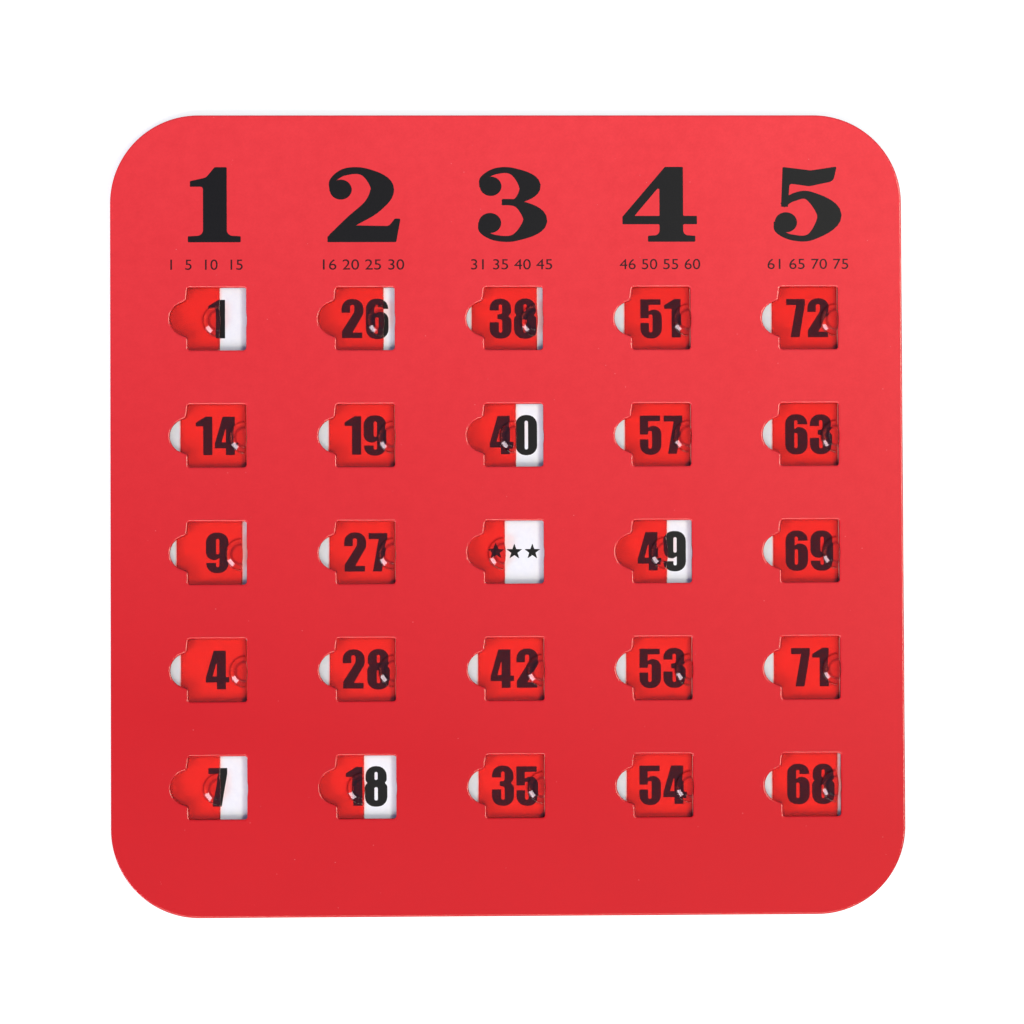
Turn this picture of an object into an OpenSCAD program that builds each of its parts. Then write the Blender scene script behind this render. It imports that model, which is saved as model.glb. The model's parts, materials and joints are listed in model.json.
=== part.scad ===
// Number card with sliding shutters: laminated boards with a grid of die-cut windows,
// and behind each window a see-through plastic shutter that slides in a pocket of its own.
// Millimetres. The card lies on its back: X runs to the right, Y towards the heading, Z up,
// and the origin is at the middle of the back face.

/* [Windows] */
// Width of a window, without its notch
window_w = 14.6; // [12:0.1:20]
// Height of a window
window_h = 15.7; // [12:0.1:20]
// Radius of a window's four corners
window_corner_r = 0.45; // [0.2:0.05:1]
// How far the notch's centre lies left of the window's left edge
notch_offset = 0.2; // [0.1:0.05:0.6]
// How far above and below the notch its corners are cut off
notch_corner_cut = 0.4; // [0.1:0.05:0.8]
// Angle at which the left edge leans out above the notch, in degrees
shoulder_lean = 8; // [0:1:16]

/* [Shutters] */
// Thickness of a shutter's plate
shutter_t = 0.5; // [0.3:0.05:1]
// Radius of the plate's corners
shutter_corner_r = 0.8; // [0.3:0.1:2]
// How far a closed shutter runs past the window's left edge
left_lap = 1.9; // [1:0.1:2.5]
// How far a shutter runs under the face above and below its window
side_lap = 1.25; // [0.5:0.05:3]
// Radius of the round fingertip lug where it meets the plate
lug_r = 3.85; // [3.4:0.05:5]
// How far the lug's centre lies left of the plate's right edge
lug_inset = 0.3; // [0:0.05:1]
// How far the lug's centre lies below the middle of the shutter
lug_drop = 0.3; // [0:0.05:0.3]
// Radius of the flat arc that ends the lug on the right
lug_side_r = 12; // [8:0.5:30]
// How far that arc reaches past the plate's right edge
lug_reach = 0.15; // [0:0.05:0.4]
// Width of the sloping shoulder round the lug
lug_bevel_w = 1.1; // [0.5:0.1:1.5]
// Height of the sloping shoulder
lug_bevel_h = 0.65; // [0.3:0.05:0.9]
// Width of the lug's flat rim
rim_w = 0.15; // [0.1:0.05:0.6]
// Depth of the fingertip dish in the lug's top
dish_depth = 0.2; // [0.15:0.05:0.6]
// How far the lug's top lies below the printed face
lug_recess = 0.2; // [0:0.05:0.5]

/* [Clearances] */
// Gap between the lug and the face at each end of the travel
stop_clearance = 0.1; // [0.05:0.05:0.3]
// How much larger the notch's radius is than the lug's
lug_clearance = 0.45; // [0.45:0.05:0.8]
// Gap above the shutter's plate in its pocket
slide_clearance = 0.3; // [0.1:0.05:0.6]
// Gap between a shutter and its pocket, above and below
guide_clearance = 0.15; // [0.05:0.05:0.5]
// Gap between a shutter and its pocket's end when the lug is on its stop
end_clearance = 0.5; // [0.2:0.1:2]

/* [Grid] */
// Width of the board left between two pockets in a row
column_rib_w = 4.9; // [2:0.05:12]
// Height of the board left between two rows of pockets
row_rib_h = 10.7; // [3:0.1:20]
// Board from the card's left edge to the first pocket
left_wall_w = 2.25; // [1.5:0.05:15]
// Board from the last pocket to the card's right edge
right_wall_w = 15.5; // [4:0.05:30]
// Board above the first row, where the heading is printed
heading_h = 41.7; // [20:0.1:60]
// Board below the last row
footer_h = 23; // [15:0.1:40]
// Radius of the card's corners
card_corner_r = 22; // [4:1:24]

/* [Layers] */
// Thickness of the printed face sheet
face_sheet_t = 0.3; // [0.15:0.05:0.6]
// Thickness of the face board
face_board_t = 1.2; // [0.8:0.1:2]
// Thickness of the sheet that carries the numbers
number_sheet_t = 0.25; // [0.1:0.05:0.6]
// Thickness of the back board
back_board_t = 1; // [0.6:0.1:3]
// Thickness of the lining sheet on the back
back_sheet_t = 0.25; // [0.1:0.05:0.6]

/* [Hidden] */
$fn = 48;
rows = 5;
columns = 5;

// Where the line that cuts off a notch corner ends, inside the notch's circle
cut_end_share = 0.9;
cut_end_angle = 115;

// How far each shutter stands open at rest, as a share of its travel, from the top row down
open_shares = [
    [0.445, 0.180, 0.085, 0.000, 0.000],
    [0.000, 0.000, 0.455, 0.000, 0.000],
    [0.069, 0.000, 0.655, 0.410, 0.000],
    [0.000, 0.000, 0.000, 0.000, 0.000],
    [0.455, 0.540, 0.000, 0.000, 0.038]
];

// Heights of the layers' lower faces, from the back up
back_board_z = back_sheet_t;
number_sheet_z = back_board_z + back_board_t;
channel_board_z = number_sheet_z + number_sheet_t;
channel_board_t = shutter_t + slide_clearance;
face_board_z = channel_board_z + channel_board_t;
face_sheet_z = face_board_z + face_board_t;
card_t = face_sheet_z + face_sheet_t;

// The notch, and where the plate's right edge stands at the two stops, from the window's centre.
// Open, the lug's centre lies below the notch's centre and as far left as their circles allow.
notch_r = lug_r + lug_clearance;
notch_x = -window_w / 2 - notch_offset;
open_play = lug_clearance - stop_clearance;
closed_x = window_w / 2 - stop_clearance;
open_x = notch_x - sqrt(max(0, open_play * open_play - lug_drop * lug_drop)) + lug_inset;
travel = closed_x - open_x;

// The shutter's plate and lug
shutter_w = window_w - stop_clearance + left_lap;
shutter_h = window_h + 2 * side_lap;
lug_h = card_t - lug_recess - channel_board_z;
lug_top_r = lug_r - lug_bevel_w;
dish_r = lug_top_r - rim_w;
dish_ball_r = (dish_r * dish_r + dish_depth * dish_depth) / (2 * dish_depth);

// The pockets, and the pitch that they give the grid
pocket_w = shutter_w + lug_reach + travel + 2 * end_clearance;
pocket_h = shutter_h + 2 * guide_clearance;
column_pitch = pocket_w + column_rib_w;
row_pitch = pocket_h + row_rib_h;
pocket_right = closed_x + lug_reach + end_clearance;

// The card's outline
card_w = left_wall_w + columns * pocket_w + (columns - 1) * column_rib_w + right_wall_w;
card_h = heading_h + rows * pocket_h + (rows - 1) * row_rib_h + footer_h;

// Centre of a window in the card's frame
function window_x(column) = -card_w / 2 + left_wall_w + pocket_w - pocket_right + column * column_pitch;
function window_y(row) = card_h / 2 - heading_h - pocket_h / 2 - row * row_pitch;

// Name of one shutter's node, counted from the top left
function shutter_name(row, column) = str("shutter_r", row + 1, "c", column + 1);

// Rectangle about the origin with round corners
module round_rectangle(width, height, corner_r) {
    square([width - 2 * corner_r, height], center = true);
    square([width, height - 2 * corner_r], center = true);
    for (side = [-1, 1])
        for (end = [-1, 1])
            translate([side * (width / 2 - corner_r), end * (height / 2 - corner_r)])
                circle(r = corner_r);
}

// Puts one copy of the children at each window
module at_each_window() {
    for (row = [0 : rows - 1])
        for (column = [0 : columns - 1])
            translate([window_x(column), window_y(row)])
                children();
}

// Opens the left edge from its corner down into the notch, along an edge that leans out.
// The corner that the board would have beside the notch is cut off by a slanting line.
module shoulder(lean) {
    top = window_h / 2 - window_corner_r;
    foot = notch_r + notch_corner_cut;
    polygon([
        [-window_w / 2, top],
        [-window_w / 2 - (top - foot) * tan(lean), foot],
        [notch_x, 0] + cut_end_share * notch_r * [cos(cut_end_angle), sin(cut_end_angle)],
        [notch_x, 0],
        [0, 0]
    ]);
}

// The large circle whose right part ends a closed shutter's lug, made larger by a gap
module lug_side_circle(gap) {
    translate([closed_x + lug_reach - lug_side_r, -lug_drop])
        circle(r = lug_side_r + gap);
}

// Outline of one window: a rectangle with a shallow recess in its right edge for the side of
// the closed lug, and the notch that the open lug comes to rest in
module window_outline() {
    round_rectangle(window_w, window_h, window_corner_r);
    intersection() {
        lug_side_circle(stop_clearance);
        translate([0, -window_h / 2])
            square([window_w, window_h]);
    }
    translate([notch_x, 0])
        circle(r = notch_r);
    shoulder(shoulder_lean);
    mirror([0, 1])
        shoulder(0);
}

// Outline of one pocket, placed from the window's centre
module pocket_outline() {
    translate([pocket_right - pocket_w / 2, 0])
        round_rectangle(pocket_w, pocket_h, shutter_corner_r);
}

module card_outline() {
    round_rectangle(card_w, card_h, card_corner_r);
}

// Lining sheet that the card lies on
module back_sheet() {
    color("linen")
        linear_extrude(back_sheet_t)
            card_outline();
}

// Stiff board that carries the number sheet
module back_board() {
    color("tan")
        translate([0, 0, back_board_z])
            linear_extrude(back_board_t)
                card_outline();
}

// White sheet that shows in the windows, and that the shutters slide on
module number_sheet() {
    color("white")
        translate([0, 0, number_sheet_z])
            linear_extrude(number_sheet_t)
                card_outline();
}

// Spacer board with one pocket for each shutter
module channel_board() {
    color("burlywood")
        translate([0, 0, channel_board_z])
            linear_extrude(channel_board_t)
                difference() {
                    card_outline();
                    at_each_window()
                        pocket_outline();
                }
}

// One die-cut layer of the face
module windowed_layer(thickness) {
    linear_extrude(thickness)
        difference() {
            card_outline();
            at_each_window()
                window_outline();
        }
}

// Stiff board whose windows hold the lugs
module face_board() {
    color("sienna")
        translate([0, 0, face_board_z])
            windowed_layer(face_board_t);
}

// Printed and laminated sheet on top
module face_sheet() {
    color([0.9, 0.19, 0.21])
        translate([0, 0, face_sheet_z])
            windowed_layer(face_sheet_t);
}

// Lug: an upright foot, a sloping shoulder, a thin flat rim, and a dish for the fingertip.
// A large circle cuts it off on the right, so that the dish is open on that side.
module lug() {
    intersection() {
        translate([-lug_inset, -lug_drop])
            difference() {
                rotate_extrude()
                    polygon([
                        [0, 0],
                        [lug_r, 0],
                        [lug_r, lug_h - lug_bevel_h],
                        [lug_top_r, lug_h],
                        [0, lug_h]
                    ]);
                translate([0, 0, lug_h - dish_depth + dish_ball_r])
                    sphere(r = dish_ball_r);
            }
        linear_extrude(lug_h)
            translate([-closed_x, 0])
                lug_side_circle(0);
    }
}

// One shutter, with the middle of its right edge over the origin
module shutter_form() {
    translate([-shutter_w / 2, 0, 0])
        linear_extrude(shutter_t)
            round_rectangle(shutter_w, shutter_h, shutter_corner_r);
    lug();
}

// One shutter where it stands at rest
module shutter(row, column) {
    edge_x = closed_x - open_shares[row][column] * travel;
    color([0.93, 0.16, 0.12, 0.7])
        translate([window_x(column) + edge_x, window_y(row), channel_board_z])
            shutter_form();
}

back_sheet();
back_board();
number_sheet();
channel_board();
face_board();
face_sheet();
for (row = [0 : rows - 1])
    for (column = [0 : columns - 1])
        shutter(row, column);
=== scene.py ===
# %% [markdown]
# # A number card with sliding shutters
# The card is six layers of board, paper and film, glued flat. Its red face has a grid of
# windows, and behind each window a see-through plastic shutter slides in a pocket of its
# own. The CAD model gives the sizes and the motion. This script dresses it: the film on
# the face, the printing, the moulded plastic, the paper and the board.
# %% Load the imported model
import json

import bmesh
import bpy
import numpy as np
from mathutils import Matrix, Vector
from mathutils.geometry import delaunay_2d_cdt


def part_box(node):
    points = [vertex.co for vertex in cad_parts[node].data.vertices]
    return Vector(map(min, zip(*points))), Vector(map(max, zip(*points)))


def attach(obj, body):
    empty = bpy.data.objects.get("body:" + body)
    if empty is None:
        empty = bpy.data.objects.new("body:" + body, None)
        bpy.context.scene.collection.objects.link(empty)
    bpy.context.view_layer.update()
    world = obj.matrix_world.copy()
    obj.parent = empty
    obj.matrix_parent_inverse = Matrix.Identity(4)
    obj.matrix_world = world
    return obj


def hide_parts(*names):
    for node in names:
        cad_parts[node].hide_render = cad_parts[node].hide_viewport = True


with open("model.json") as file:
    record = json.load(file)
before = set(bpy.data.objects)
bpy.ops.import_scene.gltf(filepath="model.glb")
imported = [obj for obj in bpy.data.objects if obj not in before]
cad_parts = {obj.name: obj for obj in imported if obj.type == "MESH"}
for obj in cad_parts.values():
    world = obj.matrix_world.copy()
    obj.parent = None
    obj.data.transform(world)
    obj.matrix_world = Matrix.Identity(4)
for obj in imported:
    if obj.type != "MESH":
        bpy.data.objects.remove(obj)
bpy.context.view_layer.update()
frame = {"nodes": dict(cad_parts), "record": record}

# %% [markdown]
# ## The sizes
# Every shape below is worked out in millimetres, with the origin at the middle of the
# card's back, because that is how a maker reads a drawing. One factor turns it into metres
# when it goes into a mesh. The numbers repeat the CAD model's, and where a node's box can
# give a number it is read from there.
# %% Sizes in millimetres
MM = 0.001
ROWS, COLUMNS = 5, 5


def node_box(name):
    """Lowest and highest corner of a CAD node, in millimetres."""
    return [np.array(corner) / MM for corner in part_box(name)]


face_low, face_high = node_box("face_sheet")
paper_top = node_box("number_sheet")[1][2]
SHUTTER_W, SHUTTER_H = (node_box("shutter_r1c1")[1] - node_box("shutter_r1c1")[0])[:2]
CARD_W, CARD_H = (face_high - face_low)[:2]
WINDOW_W, WINDOW_H = 14.6, 15.7
FIRST_WINDOW = np.array([-72.47, 49.05])
PITCH = np.array([37.03, -29.2])
windows = FIRST_WINDOW + PITCH * np.stack(
    np.meshgrid(np.arange(COLUMNS), np.arange(ROWS)), axis=-1
)
print("card", CARD_W, CARD_H, "shutter", SHUTTER_W, SHUTTER_H, "paper at", paper_top)

# %% [markdown]
# ## The camera
# The photograph was taken from almost straight above with a long lens. The four corners of
# the card and the twenty-five windows fix the angle: the lens looks down on a point a
# little off the card's middle, tilted by two and a half degrees. The lens stands a metre
# away, which keeps the small change of size from edge to edge that the picture shows.
# %% Camera
LENS_HEIGHT = 1000.0
LENS_SHIFT = np.array([0.965, 0.64])
TILT_X, TILT_Y, TURN = np.radians([-1.611, 1.901, 0.197])
SENSOR_WIDTH, FOCAL_LENGTH = 36.0, 140.85

turned = Matrix.Rotation(TURN, 3, "Z")
tilt = turned @ Matrix.Rotation(TILT_Y, 3, "Y") @ Matrix.Rotation(TILT_X, 3, "X")
lens_place = tilt.transposed() @ Vector((*LENS_SHIFT, LENS_HEIGHT)) + Vector((0, 0, face_high[2]))
camera_data = bpy.data.cameras.new("overhead_camera")
camera_data.sensor_width = SENSOR_WIDTH
camera_data.lens = FOCAL_LENGTH
camera_data.clip_start = 0.01
camera = bpy.data.objects.new("overhead_camera", camera_data)
bpy.context.scene.collection.objects.link(camera)
camera.matrix_world = Matrix.Translation(lens_place * MM) @ tilt.transposed().to_4x4()
bpy.context.scene.camera = camera
print("lens at", [round(x, 1) for x in lens_place])

# %% [markdown]
# ## From arrays to a mesh
# A piece is a list of points and a list of faces, both worked out as arrays. Parts of a
# piece that touch share their rim points only after doubles are merged, and then the
# normals are set to point outwards. Faces are shaded smooth, and an edge that turns by more
# than the given angle is kept crisp.
# %% Mesh helpers
def join_parts(*parts):
    """Puts parts, each (points, faces), into one: the face numbers of each are moved up
    by the number of points before it."""
    points, faces, count = [], [], 0
    for some_points, some_faces in parts:
        points.append(np.asarray(some_points, float))
        faces += [[i + count for i in face] for face in some_faces]
        count += len(some_points)
    return np.vstack(points), faces


def make_piece(name, points, faces, body="card", crisp=35.0, **values):
    """A mesh object from points in millimetres, merged, turned outwards, riding on a body.
    Each further named array is kept with the points, as a value for the finish to use."""
    mesh = bpy.data.meshes.new(name)
    mesh.from_pydata((points * MM).tolist(), [], faces)
    for label, value in values.items():
        mesh.attributes.new(label, "FLOAT", "POINT").data.foreach_set("value", value)
    work = bmesh.new()
    work.from_mesh(mesh)
    bmesh.ops.remove_doubles(work, verts=work.verts, dist=2e-7)
    bmesh.ops.recalc_face_normals(work, faces=work.faces)
    work.to_mesh(mesh)
    work.free()
    mesh.polygons.foreach_set("use_smooth", np.ones(len(mesh.polygons), bool))
    mesh.set_sharp_from_angle(angle=np.radians(crisp))
    print(name, "has", len(mesh.polygons), "faces")
    thing = bpy.data.objects.new(name, mesh)
    bpy.context.scene.collection.objects.link(thing)
    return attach(thing, body)


def band_faces(rows, columns):
    """Four-cornered faces of a grid of points, row after row, whose last column is joined
    to its first."""
    row = np.arange(rows - 1)[:, None] * columns
    here = np.arange(columns)[None, :]
    there = (here + 1) % columns
    quads = np.stack([row + here, row + there, row + columns + there, row + columns + here], -1)
    return quads.reshape(-1, 4).tolist()


# %% [markdown]
# ## Outlines with rounded corners
# Window, card, digit and star are all the same kind of drawing: straight sides, and at each
# corner an arc that touches both. A few corner points with a radius each say it all, and
# the arc also gives the direction that faces away from the shape. Moving the outline along
# that direction makes the next ring of a rounded edge.
# %% Rounded outlines
def rounded_outline(corners, steps=8):
    """Outline points and outward directions from rows of x, y and radius, turning left.
    At a corner that turns by an angle a, the arc starts radius times tan(a / 2) before the
    corner. Its points are the centre plus the starting spoke, turned from 0 to a."""
    corners = np.asarray(corners, float)
    place, radius = corners[:, :2], np.maximum(corners[:, 2], 0.02)
    come = place - np.roll(place, 1, axis=0)
    come /= np.linalg.norm(come, axis=1)[:, None]
    go = np.roll(come, -1, axis=0)
    turn = np.arctan2(come[:, 0] * go[:, 1] - come[:, 1] * go[:, 0], (come * go).sum(1))
    side = np.stack([come[:, 1], -come[:, 0]], -1)
    bend = np.where(turn < 0, -1.0, 1.0)
    start = place - come * (radius * np.tan(np.abs(turn) / 2))[:, None]
    centre = start - side * (radius * bend)[:, None]
    angle = turn[:, None] * np.linspace(0, 1, steps)[None, :]
    cos, sin = np.cos(angle), np.sin(angle)
    away = np.stack(
        [side[:, :1] * cos - side[:, 1:] * sin, side[:, :1] * sin + side[:, 1:] * cos], -1
    )
    points = centre[:, None, :] + away * (radius * bend)[:, None, None]
    return points.reshape(-1, 2), away.reshape(-1, 2)


def leftward(loop):
    """The same loop, walked so that its inside lies on the left, whichever way it came."""
    x, y = loop[:, 0], loop[:, 1]
    area = (x * np.roll(y, -1) - np.roll(x, -1) * y).sum()
    return loop if area > 0 else loop[::-1]


def fill_flat(shapes, holes=()):
    """Triangles over everything inside a shape and outside all holes. Shapes may overlap:
    a triangle is kept once, whichever shapes it lies in."""
    rings = [leftward(np.asarray(ring)) for ring in [*shapes, *holes]]
    starts = np.cumsum([0] + [len(ring) for ring in rings])
    rims = [list(range(a, b)) for a, b in zip(starts, starts[1:])]
    flat = [Vector(point) for point in np.vstack(rings)]
    made = delaunay_2d_cdt(flat, [], rims, 1, 1e-5, True)
    solid = len(shapes)
    kept = [
        list(face)
        for face, owners in zip(made[2], made[5])
        if owners and max(owners) < solid
    ]
    return np.array([tuple(point) for point in made[0]]), kept


def at_height(flat, height):
    """Flat points as points at one height."""
    return np.column_stack([flat, np.full(len(flat), height)])


def slab(flat, triangles, low, high):
    """A closed plate over a filled area: the triangles on top, the same turned over below,
    and a wall on every edge that only one triangle has."""
    triangles = np.asarray(triangles)
    count = len(flat)
    edges = np.concatenate([triangles[:, [0, 1]], triangles[:, [1, 2]], triangles[:, [2, 0]]])
    ends = np.sort(edges, axis=1)
    _, first, uses = np.unique(ends, axis=0, return_index=True, return_counts=True)
    rim = edges[first[uses == 1]]
    walls = np.stack([rim[:, 0], rim[:, 0] + count, rim[:, 1] + count, rim[:, 1]], -1)
    points = np.vstack([at_height(flat, high), at_height(flat, low)])
    faces = triangles.tolist() + (triangles[:, ::-1] + count).tolist() + walls.tolist()
    return points, faces


# %% [markdown]
# ## The outline of a window
# A window is a rectangle whose left side leans out into a half-round notch, where the open
# lug comes to rest, and whose right side has a shallow recess that the closed lug fits.
# Each of the two is one corner point that lies further out and has a large radius.
# %% Window and card outlines
NOTCH_R = 4.3
CARD_CORNER_R = 22
window_corners = [
    (WINDOW_W / 2, -WINDOW_H / 2, 0.8),
    (WINDOW_W / 2, -2.2, 0.9),
    (7.602, -0.3, 11.6),
    (WINDOW_W / 2, 1.6, 0.9),
    (WINDOW_W / 2, WINDOW_H / 2, 0.6),
    (-WINDOW_W / 2, WINDOW_H / 2, 0.6),
    (-7.7, 4.56, 0.85),
    (-18.98, 0, NOTCH_R),
    (-WINDOW_W / 2, -4.72, 0.85),
    (-WINDOW_W / 2, -WINDOW_H / 2, 0.7),
]
window_loop, window_away = rounded_outline(window_corners, steps=14)
card_corners = [
    (x * CARD_W / 2, y * CARD_H / 2, CARD_CORNER_R)
    for x, y in [(1, -1), (1, 1), (-1, 1), (-1, -1)]
]
card_loop, card_away = rounded_outline(card_corners, steps=40)
print("window outline", len(window_loop), "points")

# %% [markdown]
# ## The printed face
# The top layer is red paper under a clear film. A die has pressed the windows out of it,
# and the pressure leaves a soft rounded lip round each window and round the card. The lip
# is what catches the light along a window's upper edge, so it is modelled: the flat part
# ends a little outside the cut, and from there a wide arc and a tight one are carried along
# the outline. The face stays below its box by the thickness of the ink that lies on it.
# %% The section of a lip
INK_T, INK_BITE = 0.012, 0.004
FACE_LOW, FACE_TOP = face_low[2], face_high[2] - INK_T
SOFT_R, SOFT_TURN, TIGHT_R, FLAT_RIM = 0.8, np.radians(30), 0.14, 0.12


def lip_section():
    """Distance from the cut and height of a lip: a wide arc turns the flat face down by 30
    degrees, and a tight one turns it on to upright. With t the angle turned, an arc of
    radius r goes r sin t outwards and r (1 - cos t) down. A last step reaches the underside."""
    soft = np.linspace(0, SOFT_TURN, 7)
    tight = np.linspace(SOFT_TURN, np.pi / 2, 6)[1:]
    inner = SOFT_R - TIGHT_R
    out = np.concatenate([
        SOFT_R * np.sin(soft), inner * np.sin(SOFT_TURN) + TIGHT_R * np.sin(tight),
    ])
    down = np.concatenate([
        SOFT_R * (1 - np.cos(soft)),
        inner * (1 - np.cos(SOFT_TURN)) + TIGHT_R * (1 - np.cos(tight)),
    ])
    offset = np.concatenate([[out[-1] + FLAT_RIM], out[-1] - out, [0]])
    return offset, np.concatenate([[FACE_TOP], FACE_TOP - down, [FACE_LOW]])


def pressed_lip(loop, away, outward):
    """Rings from the flat face down to the cut, carried along an outline. The outermost
    ring stays flat, so the shading of the flat part is even."""
    offset, height = lip_section()
    rings = loop[None] + outward * away[None] * offset[:, None, None]
    points = np.vstack([at_height(ring, z) for ring, z in zip(rings, height)])
    return points, band_faces(len(offset), len(loop)), rings[0]


offsets, heights = lip_section()
print("lip", round(offsets[1], 3), "wide and", round(FACE_TOP - heights[-2], 3), "deep")

# %% The face sheet with its pressed lips
parts, outer_rims, cut_rims = [], [], []
for centre in windows.reshape(-1, 2):
    points, faces, rim = pressed_lip(window_loop + centre, window_away, 1.0)
    parts.append((points, faces))
    outer_rims.append(rim)
    cut_rims.append(window_loop + centre)
points, faces, card_rim = pressed_lip(card_loop, card_away, -1.0)
parts.append((points, faces))
flat, triangles = fill_flat([card_rim], outer_rims)
parts.append((at_height(flat, FACE_TOP), triangles))
flat, triangles = fill_flat([card_loop], cut_rims)
parts.append((at_height(flat, FACE_LOW), triangles))
printed_face = make_piece("printed_face", *join_parts(*parts), crisp=60)
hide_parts("face_sheet")

# %% [markdown]
# ## Heading numerals
# Each column has a large bold numeral above it. Heavy serif numerals swell and thin along a
# stroke, as if drawn with a broad pen, and end in a ball. So a stroke is a smooth line
# through a few key points, each with the pen's width there, and the band between its two
# sides is filled. Feet and bars are rounded outlines, and balls are circles. Everything
# that overlaps becomes one flat area, which gets the ink's thickness.
# %% Pen strokes
def pen_stroke(keys, steps=9):
    """Small four-cornered cells of a band along a smooth line. Between two key points the
    line is a Catmull-Rom curve: each end's direction is half the step between its two
    neighbours. Half the pen's width lies on either side."""
    keys = np.asarray(keys, float)
    padded = np.vstack([2 * keys[0] - keys[1], keys, 2 * keys[-1] - keys[-2]])
    before, here, there, after = padded[:-3], padded[1:-2], padded[2:-1], padded[3:]
    t = np.linspace(0, 1, steps)[None, :, None]
    along = 0.5 * (
        2 * here[:, None]
        + (there - before)[:, None] * t
        + (2 * before - 5 * here + 4 * there - after)[:, None] * t**2
        + (3 * here - before - 3 * there + after)[:, None] * t**3
    )
    line = np.vstack([along[:, :-1].reshape(-1, 3), keys[-1:]])
    heading = np.gradient(line[:, :2], axis=0)
    heading /= np.linalg.norm(heading, axis=1)[:, None]
    side = np.stack([-heading[:, 1], heading[:, 0]], -1) * line[:, 2:] / 2
    left, right = line[:, :2] + side, line[:, :2] - side
    return list(np.stack([left[:-1], right[:-1], right[1:], left[1:]], 1))


def ball(x, y, radius):
    """A round ball at a stroke's end."""
    turn = np.linspace(0, 2 * np.pi, 40, endpoint=False)
    return np.column_stack([x + radius * np.cos(turn), y + radius * np.sin(turn)])


def outline(corners, steps=6):
    """Only the points of a rounded outline."""
    return rounded_outline(corners, steps)[0]


# %% [markdown]
# ## Five heavy numerals
# A one and a four are nearly all straight, so they are outlines. The round ones are pen
# strokes with a ball where the stroke begins. Each is drawn in a box 18.8 high, with its
# lower left corner at the origin, and is moved to its column afterwards.
# %% Five heavy numerals
heavy_one = [
    outline([
        (0, 0, 0.25), (12.2, 0, 0.25), (12.2, 1.5, 0.2), (9.0, 1.7, 1.4), (9.0, 18.8, 0.25),
        (6.2, 18.8, 0.5), (4.2, 16.2, 1.6), (0.5, 15.3, 0.3), (0.5, 13.9, 0.2), (3.5, 13.9, 0.6),
        (3.5, 1.7, 1.4), (0, 1.5, 0.2),
    ]),
]
heavy_two = [
    ball(3.1, 13.4, 2.55),
    *pen_stroke([(0.75, 13.0, 0.5), (1.2, 15.7, 1.3), (4.1, 17.9, 1.8), (8.6, 17.85, 2.1),
                 (12.6, 13.9, 5.5), (10.6, 9.4, 4.3), (5.6, 5.3, 2.9), (1.0, 1.2, 1.8)]),
    outline([
        (0, 0, 0.2), (15.9, 0, 0.3), (16.9, 6.0, 0.3), (15.6, 6.0, 0.3), (14.2, 4.1, 1.2),
        (5.2, 4.3, 1.5), (2.6, 3.6, 1.0), (0, 1.4, 0.2),
    ]),
]
heavy_three = [
    ball(3.2, 14.1, 2.5),
    ball(3.0, 4.6, 2.6),
    *pen_stroke([(0.8, 13.8, 0.5), (1.4, 16.1, 1.3), (4.4, 18.0, 1.6), (8.4, 17.9, 1.9),
                 (12.2, 14.2, 5.2), (9.4, 10.4, 1.7), (5.8, 9.9, 1.5)]),
    *pen_stroke([(5.8, 10.1, 1.5), (9.8, 9.4, 2.2), (13.4, 5.2, 5.8), (9.0, 0.95, 2.0),
                 (4.4, 0.75, 1.5), (1.2, 2.5, 1.3), (0.5, 4.8, 0.5)]),
]
heavy_four = [
    outline([
        (0, 4.4, 0.2), (8.6, 4.4, 0.3), (8.6, 1.7, 1.2), (5.9, 1.5, 0.2), (5.9, 0, 0.25),
        (16.9, 0, 0.25), (16.9, 1.5, 0.2), (14.1, 1.7, 1.2), (14.1, 4.4, 0.3), (17.3, 4.4, 0.2),
        (17.3, 6.5, 0.2), (14.1, 6.5, 0.3), (14.1, 18.8, 0.3), (9.9, 18.8, 0.4), (0, 6.3, 0.3),
    ]),
]
heavy_four_hole = outline([(2.8, 6.5, 0.1), (8.6, 6.5, 0.1), (8.6, 13.9, 0.3)])
heavy_five = [
    ball(3.1, 4.6, 2.6),
    outline([
        (2.0, 8.6, 0.2), (3.6, 8.6, 0.2), (4.0, 14.6, 0.6), (8.6, 13.9, 2.0), (14.2, 15.2, 1.5),
        (15.0, 19.0, 0.3), (9.0, 18.0, 2.5), (2.4, 18.9, 0.3),
    ]),
    *pen_stroke([(2.3, 9.0, 1.4), (4.8, 11.0, 2.0), (8.6, 11.4, 2.4), (13.2, 6.4, 5.8),
                 (9.0, 0.95, 2.0), (4.4, 0.75, 1.5), (1.2, 2.5, 1.3), (0.5, 4.8, 0.5)]),
]
heavy = [
    (heavy_one, []), (heavy_two, []), (heavy_three, []), (heavy_four, [heavy_four_hole]),
    (heavy_five, []),
]
print("numeral shapes:", [len(shapes) for shapes, _ in heavy])

# %% [markdown]
# ## Printing the heading
# The numerals are set over the middles of the columns as they stand in print, which is not
# quite at the windows' pitch. The ink is a slab that starts a little inside the face, so no
# gap can open under it, and ends at the top of the face's box.
# %% Place the numerals over the columns
HEADING_FOOT, HEADING_H, HEADING_STRETCH = 68.2, 18.8, 1.08
HEADING_CENTRES = [-73.05, -35.75, 1.45, 38.3, 75.45]
INK_TOP = face_high[2]


def placed(shapes, shift, scale=(1.0, 1.0)):
    """Shapes stretched and moved in the plane."""
    return [np.asarray(shape) * scale + shift for shape in shapes]


parts = []
for (shapes, holes), centre in zip(heavy, HEADING_CENTRES):
    every = np.vstack(shapes)
    low, high = every.min(0), every.max(0)
    stretch = np.array([HEADING_STRETCH, HEADING_H / (high[1] - low[1])])
    shift = np.array([centre, HEADING_FOOT]) - stretch * [(low[0] + high[0]) / 2, low[1]]
    flat, triangles = fill_flat(placed(shapes, shift, stretch), placed(holes, shift, stretch))
    parts.append(slab(flat, triangles, FACE_TOP - INK_BITE, INK_TOP))
heading_ink = make_piece("heading_numerals", *join_parts(*parts))

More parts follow.
